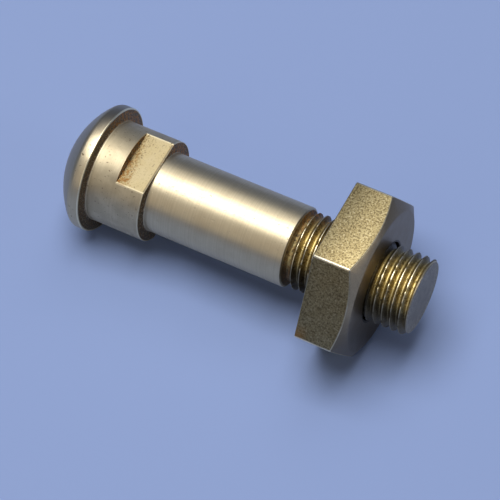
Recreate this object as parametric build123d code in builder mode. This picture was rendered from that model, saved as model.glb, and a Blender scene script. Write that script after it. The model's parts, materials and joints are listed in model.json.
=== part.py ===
"""Turned shoulder bolt with a hexagon nut run part-way along its thread.

The bolt is one turning: a domed flange head, a collar with a pair of milled flats,
a plain bearing shank, a thread relief and a fine thread. The nut is bar stock, bored,
and chamfered by a cone on its outer face only.

The pair lies as it comes to rest on a flat surface: the nut stands on one of its flats
and the head leans down until the back edge of its flange touches too. Millimetres, with
+X towards the threaded end, +Z up, and the surface at Z = 0.
"""

from build123d import *
from math import atan2, cos, radians, sin, sqrt, tan
import os

os.makedirs("parts", exist_ok=True)

# ---- head -------------------------------------------------------------------
flange_dia = 15.8
flange_rim_length = 1.4
dome_height = 3.5
dome_edge_radius = 0.3
seat_edge_break = 0.12

# ---- collar, with its pair of milled flats ----------------------------------
collar_dia = 12.7
collar_length = 7.25
collar_root_fillet = 0.25
collar_flat_length = 3.7
collar_across_flats = 10.2
collar_edge_break = 0.08

# ---- bearing shank ----------------------------------------------------------
shank_dia = 10.0
shank_length = 18.1
shank_root_fillet = 0.2
shank_end_chamfer = 0.1

# ---- threaded end: 3/8 in, 24 to the inch, left plain here at its outside diameter
thread_dia = 9.525
thread_length = 15.95
relief_dia = 8.1
relief_slope = 0.4
relief_land = 0.3
relief_exit = 0.35
thread_end_chamfer = 0.35

# ---- nut --------------------------------------------------------------------
nut_across_flats = 19.05
nut_thickness = 5.75
nut_face_dia = 17.6
nut_chamfer_angle = 28.0
nut_bore_clearance = 0.04
nut_countersink = 0.3
nut_standoff = 5.0

# ---- how the pair lies ------------------------------------------------------
flats_turn = 2.8


# Stations along the bolt, from the seating face under its head.
dome_tip = -flange_rim_length - dome_height
shoulder = collar_length
shank_end = shoulder + shank_length
relief_start = shank_end + relief_slope
thread_end = shank_end + thread_length
nut_seat = shank_end + nut_standoff

# The bolt's axis climbs from the flange's back edge to the flat under the nut.
lean = atan2(nut_across_flats / 2 - flange_dia / 2, nut_seat + flange_rim_length)
axis_dir = Vector(cos(lean), 0, sin(lean))
cross_dir = Vector(0, 1, 0)

# The axis crosses the seating face at this height, and the pair's box is centred in X.
seat_height = flange_dia / 2 * cos(lean) + flange_rim_length * sin(lean)
reach_ahead = thread_end * cos(lean) + thread_dia / 2 * sin(lean)
seat_x = -(dome_tip * cos(lean) + reach_ahead) / 2
seat_centre = Vector(seat_x, 0, seat_height)

# The half section is drawn with x along the bolt and y across it.
section = Plane(origin=seat_centre, x_dir=axis_dir, z_dir=-cross_dir)
bolt_axis = Axis(seat_centre, axis_dir)


def across(station, turn=0.0):
    """A plane square to the bolt at a station, its y up and leant towards -Y by turn."""
    square = Plane(
        origin=seat_centre + axis_dir * station, x_dir=cross_dir, z_dir=axis_dir
    )
    return square.rotated((0, 0, turn))


def rings(part, station, diameter):
    """The round edges of one diameter at one station along the bolt."""

    def belongs(edge):
        along = section.to_local_coords(edge.arc_center).X
        return abs(along - station) < 1e-4 and abs(edge.radius - diameter / 2) < 1e-4

    return part.edges().filter_by(GeomType.CIRCLE).filter_by(belongs)


# ---- shoulder bolt ----------------------------------------------------------
with BuildPart() as shoulder_bolt:
    with BuildSketch(section):
        with BuildLine():
            rim_corner = (-flange_rim_length, flange_dia / 2)
            dome_radius = ((flange_dia / 2) ** 2 + dome_height**2) / (2 * dome_height)
            dome_half_angle = atan2(flange_dia / 2, dome_radius - dome_height) / 2
            dome_centre = dome_tip + dome_radius
            dome_middle = (
                dome_centre - dome_radius * cos(dome_half_angle),
                dome_radius * sin(dome_half_angle),
            )
            ThreePointArc((dome_tip, 0), dome_middle, rim_corner)
            Polyline(
                rim_corner,
                (0, flange_dia / 2),
                (0, collar_dia / 2),
                (shoulder, collar_dia / 2),
                (shoulder, shank_dia / 2),
                (shank_end, shank_dia / 2),
                (relief_start, relief_dia / 2),
                (relief_start + relief_land, relief_dia / 2),
                (relief_start + relief_land + relief_exit, thread_dia / 2),
                (thread_end, thread_dia / 2),
                (thread_end, 0),
                (dome_tip, 0),
            )
        make_face()
    revolve(axis=bolt_axis)

    fillet(rings(shoulder_bolt, -flange_rim_length, flange_dia), dome_edge_radius)
    chamfer(rings(shoulder_bolt, 0, flange_dia), seat_edge_break)
    fillet(rings(shoulder_bolt, 0, collar_dia), collar_root_fillet)
    chamfer(rings(shoulder_bolt, shoulder, collar_dia), collar_edge_break)
    fillet(rings(shoulder_bolt, shoulder, shank_dia), shank_root_fillet)
    chamfer(rings(shoulder_bolt, shank_end, shank_dia), shank_end_chamfer)
    chamfer(rings(shoulder_bolt, thread_end, thread_dia), thread_end_chamfer)

    # a flat on each side, run out through the shoulder, with a step at its head end
    cutter_offset = (collar_across_flats + collar_dia) / 2
    with BuildSketch(across(shoulder - collar_flat_length, flats_turn)):
        with Locations((0, cutter_offset), (0, -cutter_offset)):
            Rectangle(2 * collar_dia, collar_dia)
    extrude(amount=collar_flat_length + shank_root_fillet, mode=Mode.SUBTRACT)

shoulder_bolt.part.label = "shoulder_bolt"
export_step(shoulder_bolt.part, "parts/shoulder_bolt.step")


# ---- hexagon nut ------------------------------------------------------------
with BuildPart() as hex_nut:
    with BuildSketch(across(nut_seat)):
        RegularPolygon(nut_across_flats / 2, 6, major_radius=False)
    extrude(amount=nut_thickness)

    # the cone turned on the outer face cuts the corners deeper than the flats
    nut_corner = nut_across_flats / sqrt(3)
    cone_run = (nut_corner - nut_face_dia / 2) * tan(radians(nut_chamfer_angle))
    with BuildSketch(section):
        with BuildLine():
            Polyline(
                (nut_seat, 0),
                (nut_seat, nut_corner),
                (nut_seat + nut_thickness - cone_run, nut_corner),
                (nut_seat + nut_thickness, nut_face_dia / 2),
                (nut_seat + nut_thickness, 0),
                (nut_seat, 0),
            )
        make_face()
    revolve(axis=bolt_axis, mode=Mode.INTERSECT)

    nut_bore = thread_dia + 2 * nut_bore_clearance
    with BuildSketch(across(nut_seat)):
        Circle(nut_bore / 2)
    extrude(amount=nut_thickness, mode=Mode.SUBTRACT)
    chamfer(rings(hex_nut, nut_seat, nut_bore), nut_countersink)
    chamfer(rings(hex_nut, nut_seat + nut_thickness, nut_bore), nut_countersink)

hex_nut.part.label = "hex_nut"
export_step(hex_nut.part, "parts/hex_nut.step")
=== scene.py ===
"""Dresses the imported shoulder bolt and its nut.

Both pieces are modelled in millimetres, with x along the bolt from the seating face under
its head and z up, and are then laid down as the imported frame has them.
"""

import json
from math import atan2, cos, pi, radians, sin, sqrt, tan, tau

import bmesh
import bpy
from mathutils import Matrix, Vector, noise


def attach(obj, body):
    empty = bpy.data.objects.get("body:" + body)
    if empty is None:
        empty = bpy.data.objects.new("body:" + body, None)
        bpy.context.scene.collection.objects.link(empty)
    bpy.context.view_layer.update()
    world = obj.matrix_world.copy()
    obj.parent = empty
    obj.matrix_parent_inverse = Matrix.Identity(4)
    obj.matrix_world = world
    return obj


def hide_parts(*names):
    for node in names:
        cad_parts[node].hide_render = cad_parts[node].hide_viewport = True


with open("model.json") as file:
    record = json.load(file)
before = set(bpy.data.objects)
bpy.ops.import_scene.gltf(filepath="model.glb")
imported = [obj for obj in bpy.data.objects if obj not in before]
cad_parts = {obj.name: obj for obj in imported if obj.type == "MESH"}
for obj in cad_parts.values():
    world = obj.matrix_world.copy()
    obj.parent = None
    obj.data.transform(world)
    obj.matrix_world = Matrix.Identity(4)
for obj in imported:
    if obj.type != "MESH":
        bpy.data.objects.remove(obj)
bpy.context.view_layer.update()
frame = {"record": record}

MM = 0.001

# ---- sizes, in millimetres --------------------------------------------------
FLANGE_R = 7.9
RIM_LENGTH = 1.4
DOME_HEIGHT = 3.5
DOME_EDGE = 0.3
SEAT_BREAK = 0.12

COLLAR_R = 6.35
COLLAR_LENGTH = 7.25
COLLAR_ROOT = 0.25
COLLAR_BREAK = 0.08
FLAT_LENGTH = 3.7
FLAT_HEIGHT = 5.1
FLATS_TURN = 2.8

SHANK_R = 5.0
SHANK_LENGTH = 18.1
SHANK_ROOT = 0.2
SHANK_BREAK = 0.1

THREAD_R = 4.7625
THREAD_ROOT_R = 4.12
THREAD_LENGTH = 15.95
PITCH = 25.4 / 24
NICK_DEPTH = 0.22
NICK_SCALE = 1.7
NICK_ABOVE = 0.12
RELIEF_R = 4.05
RELIEF_SLOPE = 0.4
RELIEF_LAND = 0.3
RELIEF_EXIT = 0.35
END_CHAMFER = 0.35

NUT_FLATS = 19.05
NUT_THICKNESS = 5.75
NUT_FACE_R = 8.8
NUT_CHAMFER_SLOPE = tan(radians(28.0))
NUT_BORE_R = 4.81
NUT_GROOVE_R = 4.95
NUT_COUNTERSINK = 0.14
NUT_STANDOFF = 5.0
NUT_BREAK = 0.13

# Stations along the bolt.
DOME_TIP = -RIM_LENGTH - DOME_HEIGHT
FLAT_START = COLLAR_LENGTH - FLAT_LENGTH
SHANK_END = COLLAR_LENGTH + SHANK_LENGTH
RELIEF_START = SHANK_END + RELIEF_SLOPE
THREAD_START = RELIEF_START + RELIEF_LAND + RELIEF_EXIT
THREAD_END = SHANK_END + THREAD_LENGTH
NUT_SEAT = SHANK_END + NUT_STANDOFF
NUT_FACE = NUT_SEAT + NUT_THICKNESS

# Where a crest of each thread meets the line along the top.
BOLT_CREST = THREAD_END - 1.1
NUT_CREST = NUT_SEAT + 0.4

# One pitch of the thread, from crest to crest: share of the pitch, and share of the depth.
THREAD_FORM = (
    (0.000, 1.00),
    (0.032, 1.00),
    (0.055, 0.96),
    (0.390, 0.11),
    (0.440, 0.02),
    (0.500, 0.00),
    (0.560, 0.02),
    (0.610, 0.11),
    (0.945, 0.96),
    (0.968, 1.00),
)

# ---- how finely it is modelled ----------------------------------------------
ROUND_STEPS = 192
THREAD_STEPS = 144
DOME_STEPS = 28
MERGED = 1e-4
SEAM_MERGED = 3e-3
ON_STATION = 1e-3
ON_PLANE = 1e-5
STRAIGHT = 0.3
SMOOTH_BELOW = radians(28)
SHARP_ABOVE = radians(20)

# How far a cutter runs past what it cuts, and how the thread's sleeve fits.
PAST = 1.0
CONE_PAST = 0.5
SLEEVE_CLEAR = 0.05
SLEEVE_LAP = 0.01

# ---- where the frame has the bolt -------------------------------------------
mounts = {mount["name"]: mount for mount in frame["record"]["mounts"]}
along = Vector(mounts["head_seat"]["axis"]).normalized()
seat = Vector(mounts["head_seat"]["pos_m"]) * Vector((1, 0, 1))
lean = atan2(along.z, along.x)
LAID = Matrix.Translation(seat) @ Matrix.Rotation(-lean, 4, "Y") @ Matrix.Scale(MM, 4)


# ---- modelling --------------------------------------------------------------
def turned(outline, steps=ROUND_STEPS):
    """A closed turning about x from half an outline that starts and ends on the axis."""
    bm = bmesh.new()
    points = [bm.verts.new((x, 0, r)) for x, r in outline]
    lines = [bm.edges.new(pair) for pair in zip(points, points[1:])]
    bmesh.ops.spin(
        bm,
        geom=points + lines,
        cent=(0, 0, 0),
        axis=(1, 0, 0),
        angle=tau,
        steps=steps,
        use_merge=True,
    )
    bmesh.ops.remove_doubles(bm, verts=bm.verts, dist=MERGED)
    bmesh.ops.recalc_face_normals(bm, faces=bm.faces)
    return bm


def radius_of(point):
    """Distance of a point from the bolt's axis."""
    return sqrt(point.y**2 + point.z**2)


def ring(bm, station, radius):
    """The round edge at a station and radius."""
    return [
        edge
        for edge in bm.edges
        if all(
            abs(v.co.x - station) < ON_STATION and abs(radius_of(v.co) - radius) < ON_STATION
            for v in edge.verts
        )
    ]


def break_edges(bm, edges, width, segments=3):
    """Rounds the given edges."""
    bmesh.ops.bevel(
        bm,
        geom=edges,
        offset=width,
        segments=segments,
        profile=0.5,
        affect="EDGES",
        material=-1,
        clamp_overlap=True,
    )


def combine(first, second, operation):
    """One closed bmesh joined to, cut by or kept inside another."""
    shapes = []
    for bm in (first, second):
        mesh = bpy.data.meshes.new("shape")
        bm.to_mesh(mesh)
        bm.free()
        shapes.append(bpy.data.objects.new("shape", mesh))
        bpy.context.scene.collection.objects.link(shapes[-1])
    cut = shapes[0].modifiers.new("cut", "BOOLEAN")
    cut.object = shapes[1]
    cut.operation = operation
    cut.solver = "EXACT"
    graph = bpy.context.evaluated_depsgraph_get()
    result = bmesh.new()
    result.from_mesh(shapes[0].evaluated_get(graph).to_mesh())
    for shape in shapes:
        mesh = shape.data
        bpy.data.objects.remove(shape)
        bpy.data.meshes.remove(mesh)
    bmesh.ops.remove_doubles(result, verts=result.verts, dist=MERGED)
    bmesh.ops.dissolve_degenerate(result, edges=result.edges, dist=MERGED)

    # a corner of only two edges that hardly turns would split both its faces alike
    idle = [
        v for v in result.verts if len(v.link_edges) == 2 and v.calc_edge_angle(0) < STRAIGHT
    ]
    bmesh.ops.dissolve_verts(result, verts=idle)
    return result


def trimmed(bm, station, side):
    """Cuts a bmesh off square at a station, on the +x or -x side, and closes the cut."""
    bmesh.ops.bisect_plane(
        bm,
        geom=bm.verts[:] + bm.edges[:] + bm.faces[:],
        dist=ON_PLANE,
        plane_co=(station, 0, 0),
        plane_no=(side, 0, 0),
        clear_outer=True,
    )
    rim = [
        edge
        for edge in bm.edges
        if edge.is_boundary and abs(edge.verts[0].co.x - station) < ON_STATION
    ]
    bmesh.ops.contextual_create(bm, geom=rim)


def nick(bm, root, crest, depth):
    """Dents the crests here and there, and the flanks with them, leaving the root."""
    for vert in bm.verts:
        height = (radius_of(vert.co) - root) / (crest - root)
        blow = max(0.0, noise.noise(vert.co * NICK_SCALE) - NICK_ABOVE)
        outward = Vector((0, vert.co.y, vert.co.z)).normalized()
        vert.co -= outward * blow * depth * max(0.0, height)


def threaded(root, crest, start, end, crest_at, nicks=0.0):
    """A right-handed threaded rod from start to end, its crests nicked if nicks is above 0."""
    bm = bmesh.new()
    turns = int((end - start) / PITCH) + 4
    first = crest_at - PITCH * (int((crest_at - start) / PITCH) + 2)
    points = [
        bm.verts.new((first + (turn + share) * PITCH, 0, root + depth * (crest - root)))
        for turn in range(turns)
        for share, depth in THREAD_FORM
    ]
    lines = [bm.edges.new(pair) for pair in zip(points, points[1:])]
    bmesh.ops.spin(
        bm,
        geom=points + lines,
        cent=(0, 0, 0),
        dvec=(PITCH / THREAD_STEPS, 0, 0),
        axis=(1, 0, 0),
        angle=tau,
        steps=THREAD_STEPS,
    )
    bmesh.ops.remove_doubles(bm, verts=bm.verts, dist=SEAM_MERGED)
    nick(bm, root, crest, nicks)
    trimmed(bm, start, -1)
    trimmed(bm, end, 1)
    bmesh.ops.recalc_face_normals(bm, faces=bm.faces)
    return bm


def dome_outline():
    """The domed top of the head as an arc from its tip to the flange's back edge."""
    ball = (FLANGE_R**2 + DOME_HEIGHT**2) / (2 * DOME_HEIGHT)
    widest = atan2(FLANGE_R, ball - DOME_HEIGHT)
    angles = [widest * i / DOME_STEPS for i in range(DOME_STEPS + 1)]
    return [(DOME_TIP + ball * (1 - cos(angle)), ball * sin(angle)) for angle in angles]


def flats_cutter():
    """Two blocks, turned a little about the bolt, that mill the collar's flats."""
    cutter = bmesh.new()
    length = FLAT_LENGTH + SHANK_ROOT
    middle = FLAT_START + length / 2
    for side in (1, -1):
        block = bmesh.ops.create_cube(cutter, size=1)["verts"]
        bmesh.ops.scale(cutter, vec=(length, 2.4 * COLLAR_R, COLLAR_R), verts=block)
        centre = (middle, 0, side * (FLAT_HEIGHT + COLLAR_R / 2))
        bmesh.ops.translate(cutter, vec=centre, verts=block)
    turn = Matrix.Rotation(radians(FLATS_TURN), 3, "X")
    bmesh.ops.rotate(cutter, cent=(0, 0, 0), matrix=turn, verts=cutter.verts)
    return cutter


def thread_rod():
    """The bolt's thread, kept inside a sleeve that gives its relief and its end chamfer."""
    clear_r = THREAD_R + SLEEVE_CLEAR
    inside_relief = RELIEF_R - SLEEVE_LAP
    end_r = THREAD_R - END_CHAMFER
    sleeve = turned(
        [
            (SHANK_END - 2 * PAST, 0),
            (SHANK_END - 2 * PAST, inside_relief),
            (RELIEF_START + RELIEF_LAND, inside_relief),
            (THREAD_START, clear_r),
            (THREAD_END - (clear_r - end_r), clear_r),
            (THREAD_END, end_r),
            (THREAD_END, 0),
        ],
        THREAD_STEPS,
    )
    rod = threaded(
        THREAD_ROOT_R, THREAD_R, SHANK_END - 3 * PAST, THREAD_END + PAST, BOLT_CREST, NICK_DEPTH
    )
    return combine(rod, sleeve, "INTERSECT")


def bolt_shape():
    """The bolt in one piece: head, flatted collar, shank, relief and thread."""
    inside_thread = RELIEF_START + RELIEF_LAND / 2
    bm = turned(
        dome_outline()
        + [
            (0, FLANGE_R),
            (0, COLLAR_R),
            (COLLAR_LENGTH, COLLAR_R),
            (COLLAR_LENGTH, SHANK_R),
            (SHANK_END, SHANK_R),
            (RELIEF_START, RELIEF_R),
            (inside_thread, RELIEF_R),
            (inside_thread, 0),
        ]
    )
    for station, radius, width, segments in (
        (-RIM_LENGTH, FLANGE_R, DOME_EDGE, 4),
        (0, FLANGE_R, SEAT_BREAK, 3),
        (0, COLLAR_R, COLLAR_ROOT, 4),
        (COLLAR_LENGTH, COLLAR_R, COLLAR_BREAK, 3),
        (COLLAR_LENGTH, SHANK_R, SHANK_ROOT, 4),
        (SHANK_END, SHANK_R, SHANK_BREAK, 3),
    ):
        break_edges(bm, ring(bm, station, radius), width, segments)
    bm = combine(bm, flats_cutter(), "DIFFERENCE")
    return combine(bm, thread_rod(), "UNION")


def hexagon_bar(corner):
    """A hexagonal bar of the nut's thickness, standing on one of its flats."""
    bm = bmesh.new()
    bmesh.ops.create_circle(bm, cap_ends=True, radius=corner, segments=6)
    raised = bmesh.ops.extrude_face_region(bm, geom=bm.faces[:])["geom"]
    top = [part for part in raised if isinstance(part, bmesh.types.BMVert)]
    bmesh.ops.translate(bm, vec=(0, 0, NUT_THICKNESS), verts=top)
    quarter = Matrix.Rotation(pi / 2, 3, "Y")
    bmesh.ops.rotate(bm, cent=(0, 0, 0), matrix=quarter, verts=bm.verts)
    bmesh.ops.translate(bm, vec=(NUT_SEAT, 0, 0), verts=bm.verts)
    bmesh.ops.recalc_face_normals(bm, faces=bm.faces)
    return bm


def countersink(face, way):
    """The cone that opens the nut's bore at a face that looks +x or -x."""
    deep = NUT_COUNTERSINK + NUT_GROOVE_R - NUT_BORE_R
    outer_r = NUT_BORE_R + NUT_COUNTERSINK
    return turned(
        [
            (face + way * PAST, 0),
            (face + way * PAST, outer_r + PAST),
            (face - way * deep, outer_r - deep),
            (face - way * deep, 0),
        ],
        THREAD_STEPS,
    )


def nut_shape():
    """The nut: hexagon, cone on the outer face, countersunk and threaded bore."""
    corner = NUT_FLATS / sqrt(3)
    wide = corner + CONE_PAST
    cone = turned(
        [
            (NUT_SEAT - PAST, 0),
            (NUT_SEAT - PAST, wide),
            (NUT_FACE - (wide - NUT_FACE_R) * NUT_CHAMFER_SLOPE, wide),
            (NUT_FACE, NUT_FACE_R),
            (NUT_FACE, 0),
        ]
    )
    bm = combine(hexagon_bar(corner), cone, "INTERSECT")
    sharp = [edge for edge in bm.edges if edge.calc_face_angle(0) > SHARP_ABOVE]
    break_edges(bm, sharp, NUT_BREAK)

    bore = threaded(NUT_BORE_R, NUT_GROOVE_R, NUT_SEAT - PAST, NUT_FACE + PAST, NUT_CREST)
    bm = combine(bm, bore, "DIFFERENCE")
    for face, way in ((NUT_SEAT, -1), (NUT_FACE, 1)):
        bm = combine(bm, countersink(face, way), "DIFFERENCE")
    return bm


def lay_down(name, bm, body, node, finish):
    """Makes the piece that stands for a node, where the frame has it."""
    bmesh.ops.transform(bm, matrix=LAID, verts=bm.verts)
    mesh = bpy.data.meshes.new(name)
    bm.to_mesh(mesh)
    bm.free()
    mesh.shade_smooth()
    mesh.set_sharp_from_angle(angle=SMOOTH_BELOW)
    mesh.materials.append(finish)
    piece = bpy.data.objects.new(name, mesh)
    bpy.context.scene.collection.objects.link(piece)
    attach(piece, body)
    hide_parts(node)


# ---- shader maths -----------------------------------------------------------
class Value:
    """A socket that can be used in sums."""

    def __init__(self, nodes, socket):
        self.nodes = nodes
        self.socket = socket

    def sum(self, operation, *others, clamp=False):
        """A Math node on this value and others."""
        settings = {"operation": operation, "use_clamp": clamp}
        return self.nodes.add("ShaderNodeMath", settings, dict(enumerate((self, *others))))

    def __add__(self, other):
        return self.sum("ADD", other)

    __radd__ = __add__

    def __sub__(self, other):
        return self.sum("SUBTRACT", other)

    def __rsub__(self, other):
        return (self * -1) + other

    def __mul__(self, other):
        return self.sum("MULTIPLY", other)

    __rmul__ = __mul__

    def __truediv__(self, other):
        return self.sum("DIVIDE", other)

    def __pow__(self, other):
        return self.sum("POWER", other)

    def __abs__(self):
        return self.sum("ABSOLUTE")

    def clamped(self):
        """Kept between 0 and 1."""
        return self.sum("ADD", 0.0, clamp=True)

    def above(self, low, high):
        """0 below low, 1 above high, smooth between."""
        return self.nodes.add(
            "ShaderNodeMapRange",
            {"interpolation_type": "SMOOTHSTEP"},
            {"Value": self, "From Min": low, "From Max": high},
        )

    def below(self, low, high):
        """1 below low, 0 above high, smooth between."""
        return 1 - self.above(low, high)

    def near(self, centre, reach, low=0.1, high=0.6):
        """A soft line at centre, from 0 at low of the way in from reach to 1 at high of it."""
        return (1 - abs(self - centre) / reach).clamped().above(low, high)


class Nodes:
    """The nodes of a material or of the room, added one call at a time."""

    def __init__(self, owner):
        self.owner = owner
        owner.use_nodes = True
        self.tree = owner.node_tree
        self.tree.nodes.clear()

    def add(self, kind, settings=None, sockets=None, output=0):
        """Adds a node with its settings and sockets, and returns one of its outputs."""
        node = self.tree.nodes.new(kind)
        for key, value in (settings or {}).items():
            setattr(node, key, value)
        for key, value in (sockets or {}).items():
            socket = self.socket(node.inputs, key)
            if isinstance(value, Value):
                self.tree.links.new(value.socket, socket)
            else:
                socket.default_value = value
        return Value(self, self.socket(node.outputs, output)) if node.outputs else None

    @staticmethod
    def socket(sockets, key):
        """A socket by its place, identifier or name."""
        if isinstance(key, int):
            return sockets[key]
        return next(s for s in sockets if key in (s.identifier, s.name))

    def mixed(self, share, first, second):
        """Colours mixed by a share."""
        return self.add(
            "ShaderNodeMix",
            {"data_type": "RGBA"},
            {"Factor_Float": share, "A_Color": first, "B_Color": second},
            output="Result_Color",
        )

    def coated(self, colour, *coats):
        """A colour with others laid over it in turn, each by its own share."""
        for share, coat in coats:
            colour = self.mixed(share, colour, coat)
        return colour

    def grain(self, where, scale, detail, roughness):
        """Uneven noise, about 0.5 on average."""
        return self.add(
            "ShaderNodeTexNoise",
            sockets={"Vector": where, "Scale": scale, "Detail": detail, "Roughness": roughness},
        )

    def rings(self, x, scale, detail, roughness):
        """Noise that changes along the bolt only, as turning leaves it."""
        return self.add(
            "ShaderNodeTexNoise",
            {"noise_dimensions": "1D"},
            {"W": x, "Scale": scale, "Detail": detail, "Roughness": roughness},
        )

    def spots(self, where, scale, low, high):
        """Small scattered marks, as a share."""
        return self.grain(where, scale, 3.0, 0.6).above(low, high)

    def bump(self, height, distance):
        """Small relief, as deep as distance in metres where height is 1."""
        return self.add(
            "ShaderNodeBump", sockets={"Strength": 1.0, "Distance": distance, "Height": height}
        )

    def finished(self, sockets):
        """Ends the material in a metal shader."""
        shader = self.add("ShaderNodeBsdfPrincipled", sockets=sockets)
        self.add("ShaderNodeOutputMaterial", sockets={"Surface": shader})
        return self.owner


def along_bolt(nodes):
    """Millimetres along and across the bolt, and the distance from its axis."""
    local = nodes.add(
        "ShaderNodeMapping",
        {"vector_type": "TEXTURE"},
        {
            "Vector": nodes.add("ShaderNodeTexCoord", output="Object"),
            "Location": seat,
            "Rotation": (0, -lean, 0),
            "Scale": (MM, MM, MM),
        },
    )
    x, y, z = (
        nodes.add("ShaderNodeSeparateXYZ", sockets={"Vector": local}, output=axis)
        for axis in "XYZ"
    )
    return local, x, y, z, (y * y + z * z) ** 0.5


# ---- the bolt's metal -------------------------------------------------------
TURNED = (0.62, 0.52, 0.335, 1)
TURNED_DARKER = (0.58, 0.48, 0.305, 1)
TOOL_LINE = (0.38, 0.31, 0.19, 1)
HANDLED = (0.36, 0.295, 0.185, 1)
RIM_FAR_SHADE = (0.19, 0.17, 0.14, 1)
DOME_SHADE = (0.345, 0.29, 0.20, 1)
DOME_BLOT = (0.42, 0.35, 0.24, 1)
MILLED = (0.53, 0.415, 0.205, 1)
MILLED_FLECK = (0.34, 0.26, 0.11, 1)
THREAD_OXIDE = (0.235, 0.165, 0.045, 1)
THREAD_ROOT = (0.70, 0.56, 0.24, 1)
THREAD_FLECK = (0.84, 0.70, 0.36, 1)
THREAD_DIRT = (0.06, 0.042, 0.018, 1)
THREAD_SIDE_SHADE = (0.07, 0.05, 0.026, 1)
SHADE_BY_NUT = (0.035, 0.026, 0.014, 1)
END_FACE_SHADE = (0.165, 0.13, 0.082, 1)
STEP_STAIN = (0.34, 0.22, 0.07, 1)
SPECKLE = (0.13, 0.075, 0.025, 1)
CORNER_OXIDE_AND_SHADE = (0.085, 0.055, 0.025, 1)
RUST = (0.40, 0.17, 0.025, 1)
WEAR_AND_HIGHLIGHT = (0.84, 0.73, 0.47, 1)
PIT = (0.15, 0.10, 0.05, 1)


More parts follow.
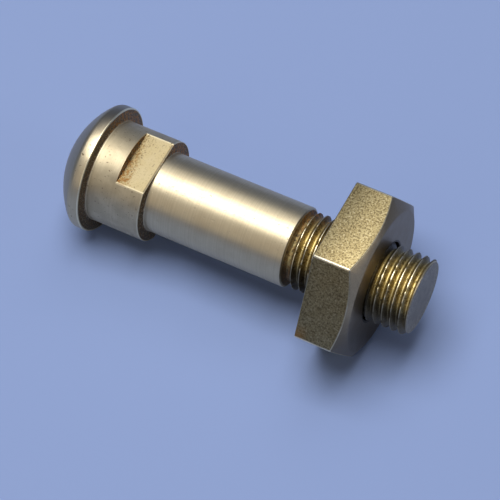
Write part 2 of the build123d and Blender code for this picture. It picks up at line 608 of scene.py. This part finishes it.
def turned_metal():
    """Satin turned metal with oxide in its thread and, partly as painted shade, in its corners;
    painted shade on the dome, the end face, the rim's far side, the thread's sides and by the
    nut; painted highlights on the thread's crests and roots.
    """
    nodes = Nodes(bpy.data.materials.new("turned metal"))
    local, x, y, z, r = along_bolt(nodes)
    fine = nodes.rings(x, 14.0, 4.0, 0.7)
    broad = nodes.rings(x, 4.0, 3.0, 0.5)
    ragged = nodes.grain(local, 2.4, 5.0, 0.7)
    clouds = nodes.spots(local, 0.45, 0.35, 0.65)
    blots = nodes.spots(local, 1.1, 0.40, 0.62)
    rust_spots = nodes.spots(local, 2.8, 0.48, 0.56)
    pits = nodes.spots(local, 3.0, 0.63, 0.70)
    flecks = nodes.spots(local, 5.0, 0.52, 0.64)

    # the head
    dome = x.below(-RIM_LENGTH - 0.35, -RIM_LENGTH + 0.15)
    rim = (
        x.above(-RIM_LENGTH - 0.1, -RIM_LENGTH + 0.2)
        * x.below(-0.15, -0.05)
        * r.above(FLANGE_R - 0.2, FLANGE_R - 0.1)
    )
    lip = x.near(-SEAT_BREAK / 2, 0.16) * r.above(FLANGE_R - 0.18, FLANGE_R - 0.1)
    head_seat = (
        x.near(0.0, 0.3, 0.1, 0.7)
        * r.above(COLLAR_R - 0.05, COLLAR_R + 0.07)
        * r.below(FLANGE_R - 0.24, FLANGE_R - 0.14)
    )

    # the collar, its flats and its shoulder
    turn = radians(FLATS_TURN)
    height = abs(z * cos(turn) - y * sin(turn))
    inside_collar = r.below(COLLAR_R - 0.13, COLLAR_R - 0.05)
    collar = (
        x.above(0.05, 0.2)
        * x.below(COLLAR_LENGTH - 0.1, COLLAR_LENGTH)
        * r.above(COLLAR_R - 0.05, COLLAR_R - 0.01)
    )
    by_flats = x.above(FLAT_START - 0.05, FLAT_START - 0.01) * x.below(
        COLLAR_LENGTH + 0.05, COLLAR_LENGTH + 0.1
    )
    flat = height.near(FLAT_HEIGHT, 0.06, 0.2, 0.6) * by_flats
    step = x.near(FLAT_START, 0.1, 0.1, 0.5) * inside_collar
    by_step = flat * (x + ragged * 4.0 + y * 0.16).below(6.0, 6.7)
    speckle = (
        nodes.spots(local, 5.0, 0.49, 0.56) * flat * (x + ragged * 3.0).below(4.8, 6.8)
    )
    root_line = (
        x.near(COLLAR_ROOT - 0.01, 0.12)
        * r.below(COLLAR_R + 0.15, COLLAR_R + 0.25)
        * r.above(COLLAR_R - 0.05, COLLAR_R - 0.01)
    )
    flat_edge = (
        by_flats
        * height.near(FLAT_HEIGHT, 0.12, 0.05, 0.3)
        * r.above(COLLAR_R - 0.13, COLLAR_R - 0.06)
    )
    shoulder_edge = x.near(COLLAR_LENGTH - 0.03, 0.14) * (
        r.above(COLLAR_R - 0.15, COLLAR_R - 0.07) + height.near(FLAT_HEIGHT, 0.1, 0.1, 0.5) * 0.7
    )
    shoulder = (
        x.near(COLLAR_LENGTH, 0.3, 0.1, 0.7) * r.above(SHANK_R, SHANK_R + 0.1) * inside_collar
    )

    # the thread and its relief; far grows towards the bolt's far upper side
    far = y * 0.88 + z * 0.47
    far_side = y.above(-1.0, 3.5)
    past_shank = x.above(SHANK_END + 0.01, SHANK_END + 0.15)
    threads = past_shank * x.below(THREAD_END - 0.2, THREAD_END - 0.1)
    crest = threads * r.above(THREAD_R - 0.0525, THREAD_R - 0.0125)
    groove = threads * r.below(THREAD_R - 0.0825, THREAD_R - 0.0075)
    # painted highlight: the thread's roots lighter than its flanks
    deep = threads * r.below(THREAD_ROOT_R, THREAD_ROOT_R + 0.28)
    # painted shade: the thread darker towards both its sides, leaving a lit band along its top
    shaded_thread_sides = threads * abs(far - 0.8).above(2.2, 4.0)
    # painted shade: the thread darker where it goes into the nut
    shade_by_nut = threads * x.near(NUT_FACE, 0.26, 0.05, 0.35)
    by_shank = x.below(NUT_SEAT - 1.85, NUT_SEAT + 0.15)
    # painted highlight: the crests brighter before the nut
    highlight_before_nut = x.below(NUT_SEAT - 0.35, NUT_SEAT + 0.65)
    relief = past_shank * x.below(THREAD_START - 0.1, THREAD_START + 0.2) * r.below(4.6, 4.9)
    end = x.above(THREAD_END - 0.08, THREAD_END - 0.02)

    # dark oxide in the corners, partly painted shade
    corners = (
        (head_seat + shoulder) * (0.95 - flecks * 0.5)
        + step * (1 - ragged.above(0.45, 0.6) * 0.6)
        + relief * (0.2 + blots * 0.3 + ragged.below(0.42, 0.50) * 0.5)
    ).clamped()
    rust = (
        (head_seat + shoulder) * (0.25 + far_side * 0.75)
        + step
        + relief * (0.3 + far_side * 0.5)
        + groove * far_side * by_shank * 0.7
        + by_step * y.below(-4.0, 3.0)
    ).clamped() * rust_spots
    # painted highlight with wear on the crests, kept to their lit band; the other bright edges
    # are wear
    crest_highlight_and_wear = crest * (1 - shade_by_nut) * (1 - shaded_thread_sides * 0.8)
    wear_and_crest_highlight = (lip + flat_edge + shoulder_edge + root_line * 0.8 + crest_highlight_and_wear).clamped()

    colour = nodes.coated(
        nodes.mixed(clouds, TURNED, TURNED_DARKER),
        (fine.above(0.3, 0.7) * 0.22 + broad.above(0.35, 0.65) * 0.14, TOOL_LINE),
        (collar * (0.15 + clouds * 0.3), HANDLED),
        # painted shade: the rim darker towards the bolt's far upper side
        (rim * far.above(1.5, 6.5) * 0.7, RIM_FAR_SHADE),
        # painted shade: the whole dome darker than the rest of the metal
        (dome * 0.8, DOME_SHADE),
        (dome * blots * 0.35, DOME_BLOT),
        (flat * (0.6 + clouds * 0.2), MILLED),
        (flat * flecks * 0.35, MILLED_FLECK),
        (groove * (0.75 + blots * 0.2), THREAD_OXIDE),
        (deep * 0.7, THREAD_ROOT),
        (groove * flecks * 0.5, THREAD_FLECK),
        (groove * ragged.below(0.38, 0.46) * 0.8, THREAD_DIRT),
        (shaded_thread_sides * 0.85, THREAD_SIDE_SHADE),
        (shade_by_nut * 0.85, SHADE_BY_NUT),
        # painted shade: the end face much darker than the rest of the metal, with a few flecks
        # and blots
        (end * (0.95 - flecks * r.above(1.6, 4.2) * 0.6 - blots * 0.12), END_FACE_SHADE),
        (by_step * 0.4, STEP_STAIN),
        (speckle * 0.8, SPECKLE),
        (corners, CORNER_OXIDE_AND_SHADE),
        (rust * 0.75, RUST),
        (wear_and_crest_highlight * (0.55 + crest * (0.2 + highlight_before_nut * 0.25) + lip * 0.4), WEAR_AND_HIGHLIGHT),
        (pits * (0.15 + (rim + collar + flat) * 0.7), PIT),
    )
    dull = (head_seat + shoulder + step + relief + rust).clamped()
    rough = (
        0.33
        + fine * 0.05
        + broad * 0.06
        + (flat + collar) * 0.09
        + (end + groove) * 0.05
        + dull * 0.2
        - wear_and_crest_highlight * 0.08
    )
    relief_map = fine + broad * 0.6 - pits * 4.0 - dull * blots * 3.0 + groove * flecks * 3.0
    return nodes.finished(
        {
            "Base Color": colour,
            "Metallic": 1 - (dull * 0.35 + pits * 0.3).clamped(),
            "Roughness": rough,
            "Normal": nodes.bump(relief_map, 2.0e-6),
        }
    )


# ---- the nut's metal --------------------------------------------------------
GRAINED = (0.41, 0.325, 0.155, 1)
GRAINED_DARKER = (0.37, 0.285, 0.13, 1)
FACED = (0.225, 0.165, 0.09, 1)
FACED_BROWN = (0.40, 0.305, 0.18, 1)
FACE_SHADE = (0.07, 0.055, 0.038, 1)
GRAIN_PIT = (0.12, 0.085, 0.04, 1)
GRAIN_FLECK = (0.78, 0.67, 0.42, 1)
NEAR_FLAT_SHADE = (0.07, 0.052, 0.028, 1)
BORE_DIRT = (0.06, 0.042, 0.02, 1)
SEAT_STAIN = (0.34, 0.16, 0.035, 1)
NUT_BRIGHT = (0.90, 0.81, 0.59, 1)


def nut_metal():
    """Grained metal on the nut's flats, smoother on its faces and cone, with painted shade on
    its faces, their lower near edge and its near flat.
    """
    nodes = Nodes(bpy.data.materials.new("grained nut metal"))
    local, x, y, z, r = along_bolt(nodes)
    grain = nodes.grain(local, 4.6, 3.0, 0.65)
    clouds = nodes.spots(local, 0.5, 0.35, 0.65)

    # distance from the axis, square to each of the three pairs of flats
    slant = y * (sqrt(3) / 2)
    across = [abs(z), abs(z * 0.5 + slant), abs(z * 0.5 - slant)]
    flat_at = NUT_FLATS / 2
    side = (
        across[0].sum("MAXIMUM", across[1]).sum("MAXIMUM", across[2])
        .above(flat_at - 0.09, flat_at - 0.04)
    )
    on_flats = [distance.above(flat_at - 0.195, flat_at - 0.095) for distance in across]
    corner = (on_flats[0] + on_flats[1] + on_flats[2] - 1).clamped()
    cone = x - NUT_FACE + (r - NUT_FACE_R) * NUT_CHAMFER_SLOPE
    cone_edge = side * cone.above(-0.16, -0.06)
    seat_edge = side * x.below(NUT_SEAT + 0.04, NUT_SEAT + 0.12)
    wear = (corner + cone_edge * 0.55 + seat_edge * 0.4).clamped() * (0.5 + clouds * 0.5)
    plain = side * (1 - wear)
    pits = grain.below(0.39, 0.51) * (0.15 + plain * 0.85)
    flecks = grain.above(0.56, 0.68) * (0.1 + plain * 0.9)

    inside = r.below(NUT_BORE_R + 0.3, NUT_BORE_R + 0.39)
    brown = (z * 0.7 - y * 0.7 + clouds * 1.5).above(5.0, 10.5)
    # painted shade: the faces darker towards their lower near edge
    shaded_low_face = (y * -0.82 - z * 0.57).above(3.0, 7.5)
    # painted shade: the near lower flat darker than the others
    shaded_near_flat = side * (z * 0.5 - y * 0.866).above(flat_at - 0.325, flat_at - 0.125)
    stain = (
        x.below(NUT_SEAT + 0.2, NUT_SEAT + 1.8)
        * across[0].below(0.3, 2.8)
        * y.below(-10.6, -9.0)
        * (0.4 + clouds * 0.6)
    )

    # painted shade: the nut's faces, cone and bore darker than its flats, lighter and browner
    # towards their upper near edge
    faces = nodes.mixed(brown, FACED, FACED_BROWN)
    colour = nodes.coated(
        nodes.mixed(
            side,
            nodes.mixed(shaded_low_face * 0.65, faces, FACE_SHADE),
            nodes.mixed(clouds, GRAINED, GRAINED_DARKER),
        ),
        (pits * 0.8, GRAIN_PIT),
        (flecks * 0.5, GRAIN_FLECK),
        (shaded_near_flat * 0.42, NEAR_FLAT_SHADE),
        (inside * 0.9, BORE_DIRT),
        (stain * 0.7, SEAT_STAIN),
        (wear * 0.85, NUT_BRIGHT),
    )
    return nodes.finished(
        {
            "Base Color": colour,
            "Metallic": 1.0,
            "Roughness": 0.36 + plain * 0.07 + clouds * 0.04 + inside * 0.1 - wear * 0.06,
            "Normal": nodes.bump(grain * (0.12 + plain * 0.88), 1.4e-5),
        }
    )


lay_down("bolt", bolt_shape(), "bolt", "shoulder_bolt", turned_metal())
lay_down("nut", nut_shape(), "nut", "hex_nut", nut_metal())


# ---- stage ------------------------------------------------------------------
FLOOR_SIZE = 3.0
FLOOR_COLOUR = (0.31, 0.41, 0.71, 1)
LAMP_DISTANCE = 0.6
WARM = (1.0, 0.87, 0.66)
ROOM_COLOUR = (0.46, 0.60, 1.0, 1)
ROOM_LIGHT = 0.04
ROOM_SEEN = 0.26

floor_mesh = bpy.data.meshes.new("floor")
bm = bmesh.new()
bmesh.ops.create_grid(bm, x_segments=1, y_segments=1, size=FLOOR_SIZE / 2)
bm.to_mesh(floor_mesh)
bm.free()
floor = bpy.data.objects.new("floor", floor_mesh)
bpy.context.scene.collection.objects.link(floor)
card = Nodes(bpy.data.materials.new("pale card"))
floor_mesh.materials.append(
    card.finished({"Base Color": FLOOR_COLOUR, "Roughness": 0.9, "Metallic": 0.0})
)


def soft_lamp(name, direction, size, radiance, colour=(1, 1, 1)):
    """A square lamp in a direction from the bolt's middle, aimed at it."""
    place = Vector(direction) * LAMP_DISTANCE
    data = bpy.data.lights.new(name, "AREA")
    data.shape = "SQUARE"
    data.size = size
    data.energy = radiance * pi * size**2
    data.color = colour
    lamp = bpy.data.objects.new(name, data)
    lamp.location = place
    lamp.rotation_euler = (-place).to_track_quat("-Z", "Y").to_euler()
    bpy.context.scene.collection.objects.link(lamp)


soft_lamp("overhead lamp", (-0.14, -0.03, 0.985), 0.38, 6.2)
soft_lamp("far lamp", (-0.10, 0.52, 0.85), 0.28, 1.3)
soft_lamp("near lamp", (-0.10, -0.82, 0.56), 0.48, 0.56, WARM)
soft_lamp("side lamp", (0.94, 0.17, 0.30), 0.25, 2.0)

# the room lights the bolt faintly, and shows brighter behind it and in its metal
world = bpy.data.worlds.new("room")
room = Nodes(world)
camera_ray, glossy_ray, transmission_ray = (
    room.add("ShaderNodeLightPath", output=f"Is {kind} Ray")
    for kind in ("Camera", "Glossy", "Transmission")
)
seen = camera_ray.sum("MAXIMUM", glossy_ray).sum("MAXIMUM", transmission_ray)
strength = seen * (ROOM_SEEN - ROOM_LIGHT) + ROOM_LIGHT
walls = room.add("ShaderNodeBackground", sockets={"Color": ROOM_COLOUR, "Strength": strength})
room.add("ShaderNodeOutputWorld", sockets={"Surface": walls})
bpy.context.scene.world = world

# ---- camera -----------------------------------------------------------------
CAMERA_AZIMUTH = radians(28.84)
CAMERA_ELEVATION = radians(58.85)
CAMERA_ROLL = radians(-1.22)
CAMERA_DISTANCE = 0.27067
CAMERA_AIM = Vector((0.00051, 0.0, 0.0037))
CAMERA_LENS = 162.85
CAMERA_SENSOR = 36.0

level = cos(CAMERA_ELEVATION)
back = Vector(
    (sin(CAMERA_AZIMUTH) * level, -cos(CAMERA_AZIMUTH) * level, sin(CAMERA_ELEVATION))
)
aimed = back.to_track_quat("Z", "Y").to_matrix()
camera_data = bpy.data.cameras.new("camera")
camera_data.lens = CAMERA_LENS
camera_data.sensor_width = CAMERA_SENSOR
camera = bpy.data.objects.new("camera", camera_data)
camera.location = CAMERA_AIM + back * CAMERA_DISTANCE
camera.rotation_euler = (aimed @ Matrix.Rotation(CAMERA_ROLL, 3, "Z")).to_euler()
bpy.context.scene.collection.objects.link(camera)
bpy.context.scene.camera = camera
bpy.context.scene.view_settings.view_transform = "Standard"
